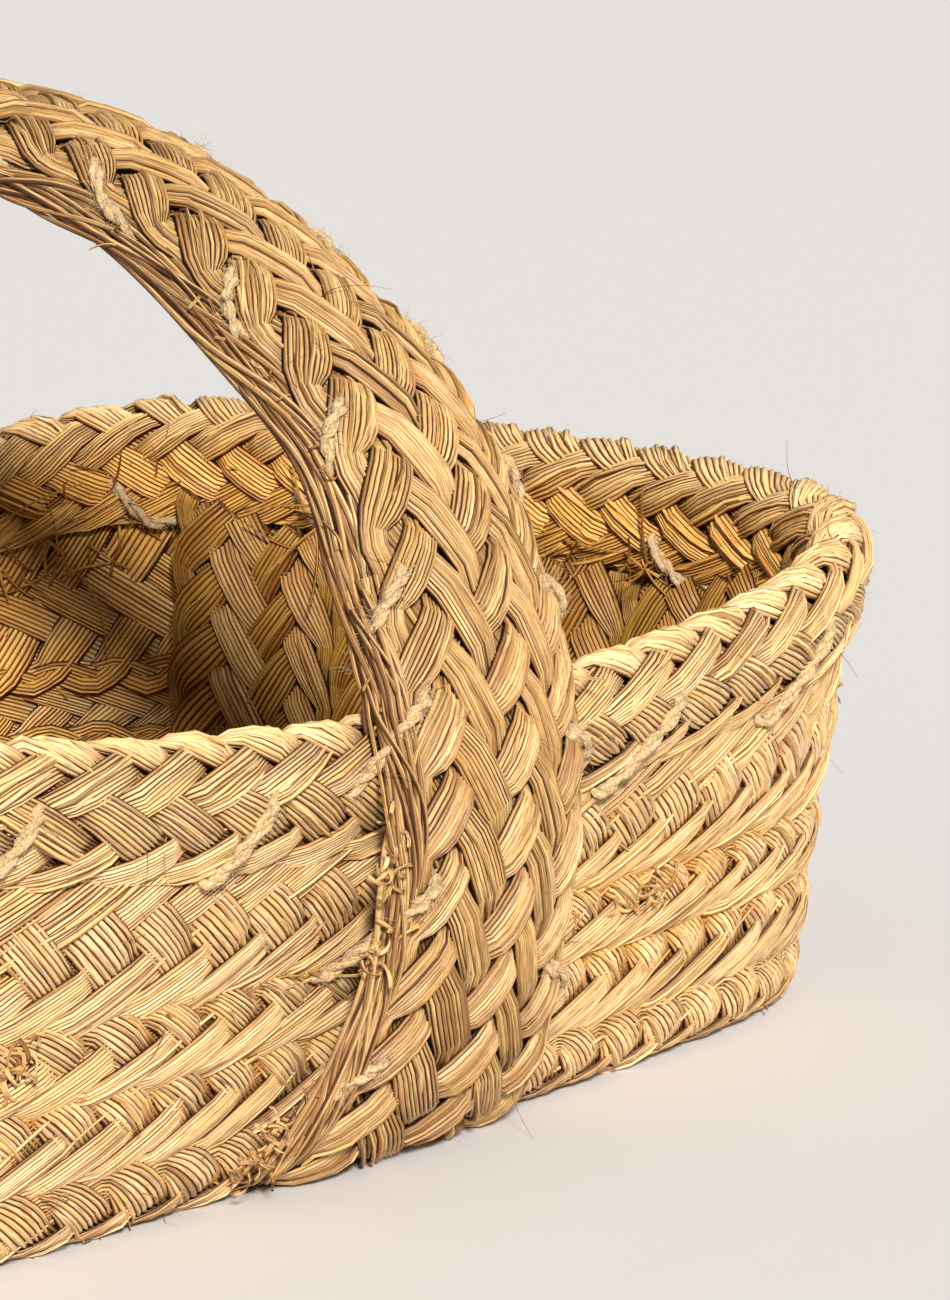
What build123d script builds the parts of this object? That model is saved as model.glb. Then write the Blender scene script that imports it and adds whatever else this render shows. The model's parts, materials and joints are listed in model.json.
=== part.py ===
"""Plaited esparto bread basket: base braids, wall courses, folded rim, sewn handle and twine.

Frame: origin on the floor under the middle of the basket, X along it, Y across it, Z up. Millimetres.
"""
from build123d import *
import math
import os

os.makedirs("parts", exist_ok=True)

# Plan of the wall's outer face: half sizes and corner radius at the floor and at the middle of the rim.
FLOOR_HALF_X, FLOOR_HALF_Y, FLOOR_CORNER = 198.5, 136.5, 70.0
RIM_HALF_X, RIM_HALF_Y, RIM_CORNER = 204.0, 158.5, 98.0
RIM_LEVEL = 110.0

# Heights at the middle of the long sides. The edge rises towards both ends by SAG.
EDGE_HEIGHT = 114.0
RIM_LOW = 85.0
SAG = 18.0
COURSE_TOPS = (14.0, 34.0, 59.0)

# Thicknesses of the braids and the clearances between them.
WALL = 8.0
RIM_STEP = 3.7
RIM_CAP = 6.0
BASE_LOW, BASE_HIGH = 6.0, 13.0
LINING = 6.0
GAP = 0.3

# Base braids: the turned-up ones lie side by side about the middle line, with a narrower one at each edge.
BASE_BRAID = 50.0
TURN_UP_HEIGHT = 98.0

# Handle: a rounded arch above ARCH_FOOT, legs on the outside of the wall, a strap under the base.
HANDLE_TOP = 243.0
ARCH_FOOT = 85.0
ARCH_HALF_SPAN = 172.0
ARCH_POWER = 2.3
HANDLE_BRAID = 12.0

# Sewing twine.
TWINE = 1.7
RIM_STITCHES = 20


def half_x(z):
    return FLOOR_HALF_X + (RIM_HALF_X - FLOOR_HALF_X) * z / RIM_LEVEL


def half_y(z):
    return FLOOR_HALF_Y + (RIM_HALF_Y - FLOOR_HALF_Y) * z / RIM_LEVEL


def corner(z):
    return FLOOR_CORNER + (RIM_CORNER - FLOOR_CORNER) * z / RIM_LEVEL


def section(z, offset):
    """Plan of the wall's outer face at one height, moved outwards by offset."""
    size_x = 2 * (half_x(z) + offset)
    size_y = 2 * (half_y(z) + offset)
    return Pos(0, 0, z) * RectangleRounded(size_x, size_y, corner(z) + offset)


def tub(low, high, offset):
    """Solid between two heights whose side is the wall's outer face moved outwards by offset."""
    return loft([section(low, offset), section(high, offset)], ruled=True)


def ring(low, high, outer, inner):
    """Hollow ring between two heights and two offsets of the wall's outer face."""
    return tub(low, high, outer) - tub(low - 1, high + 1, inner)


def sag(x):
    return SAG * (x / RIM_HALF_X) ** 2


def below_edge(height):
    """Everything under a line that is at this height in the middle and rises to both ends."""
    reach = 260.0
    end = height + sag(reach)
    top = ThreePointArc((-reach, end), (0, height), (reach, end))
    rest = Polyline((reach, end), (reach, -60), (-reach, -60), (-reach, end))
    outline = make_face((top + rest).edges())
    return extrude(Plane.XZ * outline, 250, both=True)


def slab(y_low, y_high, z_low, z_high, x_low=-250.0, x_high=250.0):
    """Plain block given by its limits."""
    size = (x_high - x_low, y_high - y_low, z_high - z_low)
    middle = ((x_low + x_high) / 2, (y_low + y_high) / 2, (z_low + z_high) / 2)
    return Pos(*middle) * Box(*size)


# ---- wall courses -------------------------------------------------------------------------------
FOOT_LEFT, FOOT_RIGHT = -53.0, 39.0
strap_way = slab(-200, 200, -5, BASE_LOW, FOOT_LEFT, FOOT_RIGHT)

# The lowest course curls under, and is notched where the handle's strap passes below it.
curl = loft([section(0, -9), section(5, -2), section(COURSE_TOPS[0], 0)], ruled=True)
course_4 = curl - tub(-2, COURSE_TOPS[0] + 1, -WALL - 4) - strap_way
course_4 = course_4 - tub(BASE_LOW - GAP, COURSE_TOPS[0] + 1, -WALL)
course_3 = ring(COURSE_TOPS[0] + GAP, COURSE_TOPS[1], 0, -WALL)
course_2 = ring(COURSE_TOPS[1] + GAP, COURSE_TOPS[2], 0, -WALL)
# The highest course runs on upwards as a tongue inside the fold of the rim.
course_1 = ring(COURSE_TOPS[2] + GAP, 150, 0, -WALL) & below_edge(EDGE_HEIGHT - RIM_CAP)

# ---- rim braid folded over the wall's edge ------------------------------------------------------
rim_block = ring(60, 150, RIM_STEP, -WALL - RIM_STEP) & below_edge(EDGE_HEIGHT)
rim_block = rim_block - below_edge(RIM_LOW)
tongue = ring(50, 150, GAP, -WALL - GAP) & below_edge(EDGE_HEIGHT - RIM_CAP + GAP)
rim = rim_block - tongue

# ---- base braids --------------------------------------------------------------------------------
base_space = tub(BASE_LOW, 120, -WALL - GAP)
lining_space = base_space - tub(BASE_LOW - 1, 121, -WALL - GAP - LINING)


def base_braid(y_low, y_high, turned_up):
    """Strip along the base; a turned-up strip also climbs inside both end walls."""
    strip = base_space & slab(y_low, y_high, BASE_LOW, BASE_HIGH)
    if not turned_up:
        return strip
    for side in (-1, 1):
        x_low, x_high = sorted((side * 130.0, side * 250.0))
        climb = slab(y_low, y_high, BASE_LOW, TURN_UP_HEIGHT, x_low, x_high)
        strip = strip + (lining_space & climb)
    return strip


half_gap = GAP / 2
base_braids = []
for i in range(4):
    y_start = (i - 2) * BASE_BRAID
    base_braids.append(base_braid(y_start + half_gap, y_start + BASE_BRAID - half_gap, True))
edge_near = base_braid(-200, -2 * BASE_BRAID - half_gap, False)
edge_far = base_braid(2 * BASE_BRAID + half_gap, 200, False)

# ---- handle -------------------------------------------------------------------------------------


def arch_points(depth, count=17):
    """Points of the arch seen along X, at a depth inside the handle's outer face."""
    points = []
    for i in range(count):
        angle = math.pi * i / (count - 1)
        across = math.copysign(abs(math.cos(angle)) ** (2 / ARCH_POWER), math.cos(angle))
        up = abs(math.sin(angle)) ** (2 / ARCH_POWER)
        y = (ARCH_HALF_SPAN - depth) * across
        z = ARCH_FOOT + (HANDLE_TOP - ARCH_FOOT - depth) * up
        points.append((y, z))
    return points


def arch_face(depth):
    """Region under the arch down to its foot."""
    points = arch_points(depth)
    curve = Spline(*points, tangents=[(0, 1), (0, -1)])
    return make_face((curve + Line(points[-1], points[0])).edges())


def leg_curve(side):
    """Outer face of one leg, from the arch's foot to the floor."""
    points = [(ARCH_HALF_SPAN, ARCH_FOOT), (167.5, 48), (159, 24), (149, 8), (136, 0)]
    return Spline(*[(side * y, z) for y, z in points], tangents=[(0, -1), (-side, -0.05)])


def wall_profile():
    """Cross-section of wall, rim and base that the legs and the strap go round, with clearance."""
    rim_out = RIM_STEP + 2 * GAP
    rim_top = EDGE_HEIGHT + sag(FOOT_RIGHT) + 2 * GAP
    step = RIM_LOW - GAP
    half = [
        (half_y(BASE_LOW) + 2 * GAP, BASE_LOW - GAP),
        (half_y(step) + 2 * GAP, step),
        (half_y(step) + rim_out, step),
        (half_y(rim_top) + rim_out, rim_top),
    ]
    mirrored = [(-y, z) for y, z in reversed(half)]
    return make_face(Polyline(*half, *mirrored, close=True).edges())


def width_shape(inset):
    """The handle's width at each height: narrow on top, wide on the wall, splayed at the foot."""
    arch = [(24, 250), (24, 228), (28, 200), (31, 170), (36, 134), (38, 112), (36, 75)]
    right = arch + [(35.5, 40), (36, -5)]
    left = arch + [(40, 40), (51, -5)]
    curve_right = Spline(*[(x - inset, z) for x, z in right])
    curve_left = Spline(*[(inset - x, z) for x, z in left])
    top = Line(curve_left @ 0, curve_right @ 0)
    bottom = Line(curve_right @ 1, curve_left @ 1)
    outline = make_face((curve_right + bottom + curve_left + top).edges())
    return extrude(Plane.XZ * outline, 220, both=True)


arch_outer = Spline(*arch_points(0), tangents=[(0, 1), (0, -1)])
floor_line = Line((-136, 0), (136, 0))
loop_outline = make_face((arch_outer + leg_curve(-1) + floor_line + leg_curve(1)).edges())
loop_face = loop_outline - arch_face(HANDLE_BRAID) - wall_profile()
handle_outer = extrude(Plane.YZ * loop_face, 70, both=True) & width_shape(0)

lining_foot = EDGE_HEIGHT + sag(FOOT_RIGHT) + 2 * GAP
lining_face = arch_face(HANDLE_BRAID + GAP) - arch_face(2 * HANDLE_BRAID)
lining_body = extrude(Plane.YZ * lining_face, 70, both=True) & width_shape(1.5)
handle_lining = lining_body & slab(-220, 220, lining_foot, 260)

# ---- twine stitches -----------------------------------------------------------------------------


def strand(points):
    """Round twine through a few points."""
    body = None
    for start, end in zip(points, points[1:]):
        direction = end - start
        place = Plane(origin=start, z_dir=direction)
        rod = place * Cylinder(TWINE, direction.length, align=(Align.CENTER, Align.CENTER, Align.MIN))
        body = rod if body is None else body + rod
    for point in points:
        body = body + Pos(*point) * Sphere(TWINE)
    return body


def on_wall(share, height, offset):
    """Point on the wall's outer face at a share of the way round, at a height above the rim's low edge."""
    level = section(RIM_LOW, 0).wire().position_at(share % 1.0)
    z = RIM_LOW + sag(level.X) + height
    return section(z, offset + TWINE + GAP).wire().position_at(share % 1.0)


def rim_stitch(share):
    """One slanting stitch from the rim, over its low edge, to the course below."""
    high = on_wall(share + 0.010, 13, RIM_STEP + 0.4)
    edge = on_wall(share, -2.0, RIM_STEP)
    low = on_wall(share - 0.006, -10, 1.0)
    return strand([high, edge, low])


rim_stitches = []
for i in range(RIM_STITCHES):
    share = (i + 0.5) / RIM_STITCHES
    place = on_wall(share, 0, 0)
    if abs(place.X) > 52 or abs(place.Y) < 120:
        rim_stitches.append(rim_stitch(share))


def handle_stitch(angle, side):
    """One stitch lying on the handle's edge, from the outer braid to the lining."""
    ends = []
    for turn, depth in ((-2.0, 2.5), (2.0, 2 * HANDLE_BRAID - 3.0)):
        a = math.radians(angle + turn)
        across = math.copysign(abs(math.cos(a)) ** (2 / ARCH_POWER), math.cos(a))
        y = (ARCH_HALF_SPAN - depth) * across
        z = ARCH_FOOT + (HANDLE_TOP - ARCH_FOOT - depth) * math.sin(a) ** (2 / ARCH_POWER)
        ends.append((y, z))
    width = max(24.0, 24.0 + (228.0 - min(ends[0][1], ends[1][1])) * 0.142)
    x = side * (width + TWINE + 1.0)
    return strand([Vector(x, y, z) for y, z in ends])


stitch_angles_left = [20, 32, 44, 57, 72, 90, 108, 123, 136, 148, 160]
stitch_angles_right = [25, 37, 49, 62, 77, 103, 118, 131, 143, 155]
stitches_left = [handle_stitch(angle, -1) for angle in stitch_angles_left]
stitches_right = [handle_stitch(angle, 1) for angle in stitch_angles_right]

# ---- export -------------------------------------------------------------------------------------
nodes = {
    "base_braid_edge_near": edge_near,
    "base_braid_1": base_braids[0],
    "base_braid_2": base_braids[1],
    "base_braid_3": base_braids[2],
    "base_braid_4": base_braids[3],
    "base_braid_edge_far": edge_far,
    "wall_course_4": course_4,
    "wall_course_3": course_3,
    "wall_course_2": course_2,
    "wall_course_1": course_1,
    "rim_braid": rim,
    "handle_outer_braid": handle_outer,
    "handle_lining_braid": handle_lining,
    "rim_stitches": Compound(children=rim_stitches),
    "handle_stitches_left": Compound(children=stitches_left),
    "handle_stitches_right": Compound(children=stitches_right),
}

for name, shape in nodes.items():
    export_step(shape, f"parts/{name}.step")
    size = shape.bounding_box().size
    count = len(shape.solids())
    volume = shape.volume / 1000
    print(f"{name:24s} {count:3d} solids {volume:8.2f} cm3  {size.X:.1f} x {size.Y:.1f} x {size.Z:.1f}")
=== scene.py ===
# %% [markdown]
# # A plaited esparto bread basket
# Every braid of this basket is made the way the maker plaits it: a few flat strands, each of
# several grass stems lying side by side, zigzag from edge to edge of the braid and pass over
# two neighbours and under two. The frame comes first, because each braid takes its place from
# the solid that it stands for.
# %% Load the frame
import json
import math
import bmesh
import bpy
import numpy as np
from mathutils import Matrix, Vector

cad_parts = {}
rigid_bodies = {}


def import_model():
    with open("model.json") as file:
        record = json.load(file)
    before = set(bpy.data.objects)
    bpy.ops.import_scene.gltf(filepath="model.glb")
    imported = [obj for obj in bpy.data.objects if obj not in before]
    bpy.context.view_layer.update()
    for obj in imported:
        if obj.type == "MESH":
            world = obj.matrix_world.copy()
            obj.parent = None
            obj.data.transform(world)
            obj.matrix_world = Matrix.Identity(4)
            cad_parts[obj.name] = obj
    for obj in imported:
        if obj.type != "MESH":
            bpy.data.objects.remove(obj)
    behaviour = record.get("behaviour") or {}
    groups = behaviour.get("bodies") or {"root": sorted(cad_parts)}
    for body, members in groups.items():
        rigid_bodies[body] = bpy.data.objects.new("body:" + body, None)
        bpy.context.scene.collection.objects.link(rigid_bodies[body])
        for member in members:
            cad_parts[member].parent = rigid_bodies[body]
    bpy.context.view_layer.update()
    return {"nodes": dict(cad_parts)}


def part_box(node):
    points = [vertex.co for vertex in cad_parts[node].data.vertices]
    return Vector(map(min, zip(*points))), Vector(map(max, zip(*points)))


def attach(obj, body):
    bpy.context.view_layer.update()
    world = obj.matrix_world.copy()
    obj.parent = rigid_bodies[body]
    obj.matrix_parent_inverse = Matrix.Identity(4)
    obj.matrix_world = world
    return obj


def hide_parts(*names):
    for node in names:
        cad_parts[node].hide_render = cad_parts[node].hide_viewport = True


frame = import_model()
MM = 0.001
print("nodes", sorted(frame["nodes"]))

# %% [markdown]
# ## Measures taken from the solids
# The wall leans outwards, so its half sizes grow with height. Two courses give the slope, the
# rim gives the edge height, and the handle gives its top and its reach. The rim's edge rises
# towards both ends, in the plaits a little more than in the solids. Typed numbers would drift
# away from the solids, so these are read from their boxes.
# %% Read the measures
low_box, mid_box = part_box("wall_course_3"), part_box("wall_course_2")
rim_box, handle_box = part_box("rim_braid"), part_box("handle_outer_braid")
LEVELS = np.array([low_box[1].z, mid_box[1].z]) / MM
SLOPE_X = (mid_box[1].x - low_box[1].x) / MM / (LEVELS[1] - LEVELS[0])
SLOPE_Y = (mid_box[1].y - low_box[1].y) / MM / (LEVELS[1] - LEVELS[0])
HALF_X0 = mid_box[1].x / MM - SLOPE_X * LEVELS[1]
HALF_Y0 = mid_box[1].y / MM - SLOPE_Y * LEVELS[1]
EDGE_END = rim_box[1].z / MM
SAG, LOOKS_SAG, SAG_REACH = 18.0, 22.3, 204.0
EDGE_MID = EDGE_END - SAG * (rim_box[1].x / MM / SAG_REACH) ** 2
HANDLE_TOP, HANDLE_REACH = handle_box[1].z / MM, handle_box[1].y / MM
print("half sizes at the floor", round(HALF_X0, 1), round(HALF_Y0, 1))
print("edge in the middle and at the ends", round(EDGE_MID, 1), round(EDGE_END, 1))
print("handle", round(HANDLE_REACH, 1), round(HANDLE_TOP, 1))

# %% [markdown]
# ## Camera
# A long lens from the front left, a little above the basket, so that the handle rises out of
# view and the far wall shows over the near one. The camera is turned towards a point inside the
# basket, which is easier to choose than three angles.
# %% Make the camera
camera_data = bpy.data.cameras.new("camera")
camera = bpy.data.objects.new("camera", camera_data)
bpy.context.collection.objects.link(camera)
camera.location = (-0.9557, -0.9447, 0.3554)
look = Vector((0.1975, 0.0052, 0.0703)) - camera.location
camera.rotation_euler = look.to_track_quat("-Z", "Y").to_euler()
camera_data.lens = 156.5
camera_data.clip_end = 60
bpy.context.scene.camera = camera
print("camera", [round(c, 3) for c in camera.location], "lens", camera_data.lens)

# %% [markdown]
# ## The plan of the basket
# Seen from above the wall is a rounded oblong. A superellipse describes it with one number for
# how square it is. Distances round the wall are measured once, at one height, so that the
# strands of all courses keep the same pitch.
# %% The plan
def squareness(z):
    return np.interp(z, [0, 110], [5.2, 4.2])


def plan_radius(angle, a, b, n):
    return (np.abs(np.cos(angle) / a) ** n + np.abs(np.sin(angle) / b) ** n) ** (-1 / n)


def lengths_along(points):
    """Distance from the start of a line of points to each of them."""
    return np.concatenate([[0], np.cumsum(np.linalg.norm(np.diff(points, axis=0), axis=1))])


ROUND = np.linspace(0, 2 * np.pi, 4001) + np.pi / 2
round_radius = plan_radius(ROUND, HALF_X0 + 60 * SLOPE_X, HALF_Y0 + 60 * SLOPE_Y, squareness(60))
round_xy = np.stack([round_radius * np.cos(ROUND), round_radius * np.sin(ROUND)], -1)
ROUND_LENGTHS = lengths_along(round_xy)
GIRTH = ROUND_LENGTHS[-1]


def plan(u, z, offset):
    """Point and outward direction of the wall, u millimetres round it, at height z."""
    angle = np.interp(np.mod(u, GIRTH), ROUND_LENGTHS, ROUND)
    a, b, n = HALF_X0 + SLOPE_X * z, HALF_Y0 + SLOPE_Y * z, squareness(z)
    radius = plan_radius(angle, a, b, n)
    x, y = radius * np.cos(angle), radius * np.sin(angle)
    nx = np.sign(x) * np.abs(x / a) ** (n - 1) / a
    ny = np.sign(y) * np.abs(y / b) ** (n - 1) / b
    size = np.hypot(nx, ny)
    nx, ny = nx / size, ny / size
    return x + offset * nx, y + offset * ny, nx, ny


def sag(x):
    return LOOKS_SAG * (x / SAG_REACH) ** 2


print("girth", round(GIRTH), "mm")

# %% [markdown]
# ## Profiles
# A braid that runs round the wall has a profile: where its middle layer lies, out from the
# wall's face and up. A profile is a few points, run through by a smooth curve. Each point also
# says how much of the rim's rise towards the ends it follows. A surface is then a function from
# millimetres along, across and out of the braid to a point, so any braid can be laid on it.
# %% Profiles of the braids round the wall
def smooth_table(points, extend=6.0, count=400):
    """Evenly spaced points on a smoothed line through a few points, and their distances from the middle."""
    points = np.array(points, float)
    start = points[0] + (points[0] - points[1]) / np.linalg.norm((points[0] - points[1])[:2]) * extend
    end = points[-1] + (points[-1] - points[-2]) / np.linalg.norm((points[-1] - points[-2])[:2]) * extend
    points = np.vstack([start, points, end])
    for _ in range(4):
        q = points[:-1] * 0.75 + points[1:] * 0.25
        r = points[:-1] * 0.25 + points[1:] * 0.75
        inner = np.stack([q, r], 1).reshape(-1, points.shape[1])
        points = np.vstack([points[:1], inner, points[-1:]])
    lengths = lengths_along(points[:, :2])
    even = np.linspace(0, lengths[-1], count)
    table = np.stack([np.interp(even, lengths, points[:, c]) for c in range(points.shape[1])], -1)
    return even - lengths[-1] / 2, table


def ring_surface(points):
    """Surface of a braid round the wall: (u, v, height) to a point in space."""
    v_table, table = smooth_table(points)
    slope = np.gradient(table[:, :2], axis=0)
    slope /= np.linalg.norm(slope, axis=1)[:, None]

    def surface(u, v, height):
        offset = np.interp(v, v_table, table[:, 0])
        z = np.interp(v, v_table, table[:, 1])
        share = np.interp(v, v_table, table[:, 2])
        up_offset = np.interp(v, v_table, slope[:, 1])
        up_z = -np.interp(v, v_table, slope[:, 0])
        x, y, _, _ = plan(u, z, 0)
        wander = 0.9 * np.sin(u * 0.021 + z * 0.05) + 0.6 * np.sin(u * 0.047 + 2.0)
        offset = offset + height * up_offset + wander * 0.6
        z = z + height * up_z + share * (sag(x) + 0.5 * wander)
        x, y, _, _ = plan(u, z, offset)
        return np.stack([x, y, z], -1)

    return surface


course_4_profile = [(-17, 3.4, 0), (-9, 3.0, 0), (-3.8, 3.4, 0), (-1.6, 7, 0), (-1.6, 12, 0), (-3.4, 18, 0)]
course_3_profile = [(-5.0, 14.5, 0), (-2.4, 19, 0), (-2.0, 25, 0), (-2.4, 31, 0), (-5.0, 36.5, 0)]
course_2_profile = [(-5.0, 34, 0), (-2.6, 38, 0), (-2.0, 43, 0), (-2.4, 48, 0.05), (-5.0, 53, 0.1)]
course_1_profile = [(-5.0, 49.5, 0.1), (-2.4, 56, 0.25), (-1.8, 66, 0.45), (-2.4, 77, 0.7), (-4.4, 88, 0.9),
                    (-5, 94, 1)]
RIM_TOP = EDGE_MID - 7.2
rim_profile = [(-0.6, 83, 1), (1.8, 89, 1), (2.6, 97, 1), (1.8, RIM_TOP - 7, 1), (-0.8, RIM_TOP - 1.2, 1),
               (-4.0, RIM_TOP, 1), (-7.2, RIM_TOP - 1.2, 1), (-9.8, RIM_TOP - 7, 1), (-10.6, 97, 1),
               (-9.8, 89, 1), (-8.0, 83, 1)]
first_course, second_course = ring_surface(course_1_profile), ring_surface(course_2_profile)
third_course, fourth_course = ring_surface(course_3_profile), ring_surface(course_4_profile)
rim_surface = ring_surface(rim_profile)
print("middle line of the rim's fold", round(RIM_TOP, 1), "mm high")

# %% [markdown]
# ## The handle's line
# Seen along the basket's length the handle is an arch on two legs, closed by a strap under the
# base. Arch and legs are quarter superellipses end to end: two numbers bend each, where a free
# curve would need many points. The band is narrow on top and wide on the wall, and it splays at
# the foot.
# %% The handle's surfaces
ARCH_FOOT, ARCH_POWER, ARCH_DROP = 85.0, 2.15, 4.5
FOOT_Y, LEG_POWER = 136.0, 1.75
BAND_HEIGHTS = [0, 15, 45, 75, 112, 134, 158, 175, 200, 228, 243]
BAND_RIGHT = [36, 33, 25.5, 25, 23.5, 22.5, 22.5, 22, 20, 17, 17]
BAND_LEFT = [50, 46, 37, 34, 36, 34, 29.5, 27.0, 25.5, 23.5, 23]


def quarter(power, count=300):
    angle = np.linspace(0, np.pi / 2, count)
    return np.cos(angle) ** (2 / power), np.sin(angle) ** (2 / power)


def handle_line():
    """Evenly spaced points (y, z) once round the handle from the middle of the strap, near side first."""
    leg_c, leg_s = quarter(LEG_POWER)
    leg_y = -(FOOT_Y + (HANDLE_REACH - FOOT_Y) * leg_c)
    leg_z = ARCH_FOOT * (1 - leg_s)
    arch_c, arch_s = quarter(ARCH_POWER)
    arch_y = -HANDLE_REACH * arch_c
    arch_z = ARCH_FOOT + (HANDLE_TOP - ARCH_DROP - ARCH_FOOT) * arch_s
    near = np.vstack([[0, 0], np.stack([leg_y, leg_z], -1)[::-1], np.stack([arch_y, arch_z], -1)[1:]])
    whole = np.vstack([near, (near * [-1, 1])[::-1][1:]])
    lengths = lengths_along(whole)
    even = np.arange(0, lengths[-1], 1.0)
    line = np.stack([np.interp(even, lengths, whole[:, c]) for c in (0, 1)], -1)
    kernel = np.ones(9) / 9
    padded = np.vstack([line[-8:], line, line[:8]])
    smooth = np.stack([np.convolve(padded[:, c], kernel, "same") for c in (0, 1)], -1)[8:-8]
    return even, smooth


LOOP_U, LOOP = handle_line()
LOOP_LENGTH = LOOP_U[-1] + 1.0
loop_slope = np.gradient(np.vstack([LOOP[-1:], LOOP, LOOP[:1]]), axis=0)[1:-1]
loop_slope /= np.linalg.norm(loop_slope, axis=1)[:, None]


def loop_at(u):
    """Point (y, z) and outward direction of the handle's outer line."""
    u = np.mod(u, LOOP_LENGTH)
    y, z = np.interp(u, LOOP_U, LOOP[:, 0]), np.interp(u, LOOP_U, LOOP[:, 1])
    out_y = -np.interp(u, LOOP_U, loop_slope[:, 1])
    out_z = np.interp(u, LOOP_U, loop_slope[:, 0])
    return y, z, out_y, out_z


def handle_surface(half_v, depth_middle, depth_edge, crown, facing, inset):
    """Surface of a handle braid: depths inside the outer line at its middle and at its edges."""
    def surface(u, v, height):
        y, z, out_y, out_z = loop_at(u)
        share = v / half_v
        right, left = np.interp(z, BAND_HEIGHTS, BAND_RIGHT), np.interp(z, BAND_HEIGHTS, BAND_LEFT)
        half = np.where(share > 0, right, left)
        strap = np.clip((np.abs(y) - 60) / 60, 0, 1)
        half = np.where(z < 12, 36 + (half - 36) * strap, half) - inset
        rim = np.interp(z, [0, 118, 150], [0.35, 0.35, 1.0])
        edge = depth_middle + (depth_edge - depth_middle) * rim
        depth = depth_middle + (edge - depth_middle) * np.abs(share) ** crown
        wander = 0.8 * np.sin(u * 0.028) + 0.5 * np.sin(u * 0.061 + 1.0)
        lean = np.interp(z, [130, 170, 200, 235], [0, 1, 4, 8])
        x = share * half + wander * np.clip(z / 40, 0, 1) - lean
        reach = facing * height - depth + 0.4 * wander * np.clip(z / 40, 0, 1)
        return np.stack([x, y + out_y * reach, z + out_z * reach], -1)

    return surface


HANDLE_HALF = 34.0
outer_surface = handle_surface(HANDLE_HALF + 2, 3.4, 9.5, 2.6, 1, 0)
lining_surface = handle_surface(31, 17.8, 10.0, 3.0, -1, 1.5)
near_rim_u = LOOP_U[np.argmin(np.abs(LOOP[:, 1] - 116) + 1000 * (LOOP[:, 0] > 0))]
print("handle loop", round(LOOP_LENGTH), "mm, crosses the rim at", near_rim_u)

# %% [markdown]
# ## The base's surface
# Each braid of the base is a straight strip. The four middle ones turn up inside the end
# walls, so their line runs along the floor, round a bend and up the wall. The same kind of
# surface function as for the wall does this, so nothing has to be bent afterwards.
# %% The base's surface
END_OFFSET, BASE_Z, BEND = -10.3, 9.6, 9.0


def end_wall(y, z):
    """How far along X the lining of the end wall stands at this y and height."""
    a = HALF_X0 + SLOPE_X * z + END_OFFSET
    b = HALF_Y0 + SLOPE_Y * z + END_OFFSET
    return a * (1 - np.clip(np.abs(y) / b, 0, 0.999) ** squareness(z)) ** (1 / squareness(z))


def base_surface(middle_y, turned_up):
    """Surface of one base braid, whose middle line lies at middle_y."""
    def surface(u, v, height):
        y = middle_y + v
        reach = end_wall(y, BASE_Z) if turned_up else end_wall(y, BASE_Z) - 4
        past = np.abs(u) - (reach - BEND)
        angle = np.clip(past / BEND, 0, np.pi / 2) if turned_up else 0 * past
        climb = np.maximum(past - BEND * np.pi / 2, 0) if turned_up else 0 * past
        x = np.minimum(np.abs(u), reach - BEND if turned_up else reach) + (BEND - height) * np.sin(angle)
        z = BASE_Z + height + (BEND - height) * (1 - np.cos(angle)) + climb
        x = x + (end_wall(y, z) - end_wall(y, BASE_Z)) * np.clip(climb / 20, 0, 1)
        return np.stack([np.sign(u) * x, y + 0 * x, z], -1)

    return surface


print("end lining stands", round(float(end_wall(0.0, BASE_Z)), 1), "mm from the middle")

# %% [markdown]
# ## Plaiting
# A strand is a flat bunch of stems that zigzags from edge to edge of its braid. An image of a
# plait would cast no shadows and leave a smooth outline, and a bevelled curve for every stem
# would be far too heavy, so one function plaits every braid as a mesh. All its strands follow
# the same zigzag, one step apart. Going one way a strand lies over its neighbours in the first,
# third and fifth column and under them in the others, and on the way back it does the opposite.
# All strands are cut from one bmesh grid, which is quicker than a grid for each. The vertices
# are then laid round the strand's section, which has a ridge for each stem, and along its path,
# and both ends close on a point. A few single stems lie loose on top. The mesh also keeps
# attributes for the material: the place among the stems, and two weights of painted shade, one
# for how far inside the basket a point is and one for how far it lies under other strands or at
# a strand's edge.
# %% The plaiting function
def grid_tubes(count, rings, around):
    """One grid cut into count strips; says each vertex's strip, ring along it and place across it."""
    bm = bmesh.new()
    rows = count * (around + 1) - 1
    bmesh.ops.create_grid(bm, x_segments=rings, y_segments=rows, size=1.0)
    spare = [face for face in bm.faces
             if int((face.calc_center_median().y + 1) / 2 * rows) % (around + 1) == around]
    bmesh.ops.delete(bm, geom=spare, context="FACES_ONLY")
    mesh = bpy.data.meshes.new("strands")
    bm.to_mesh(mesh)
    bm.free()
    co = np.zeros(len(mesh.vertices) * 3, np.float32)
    mesh.vertices.foreach_get("co", co)
    co = co.reshape(-1, 3).astype(float)
    ring = np.rint((co[:, 0] + 1) / 2 * rings).astype(int)
    line = np.rint((co[:, 1] + 1) / 2 * rows).astype(int)
    return mesh, line // (around + 1), ring, line % (around + 1)


def share_and_cap(ring, rings):
    """Share of the way along a tube, and 1 there but 0 at the two rings that close it."""
    return np.clip((ring - 1) / (rings - 2), 0, 1), np.where((ring == 0) | (ring == rings), 0.0, 1.0)


def painted_inside_shade(points):
    """Weight of painted shade inside the basket, from 0 at the wall's middle to 1 just behind it, fading out
    near the rim's top.
    """
    x, y, z = points.T
    level = np.clip(z, 0, 110)
    skin = np.interp(z - sag(x), [84, 97], [1.0, 5.5])
    a, b = HALF_X0 + SLOPE_X * level - skin, HALF_Y0 + SLOPE_Y * level - skin
    reach = (np.abs(x) / a) ** 4.6 + (np.abs(y) / b) ** 4.6
    depth = (1 - reach ** (1 / 4.6)) * b
    under_rim = np.clip((RIM_TOP + sag(x) - z) / 14 + 0.15, 0, 1)
    return np.clip(depth / 2.2, 0, 1) * under_rim * np.clip((z - 3) / 4, 0, 1)


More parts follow.
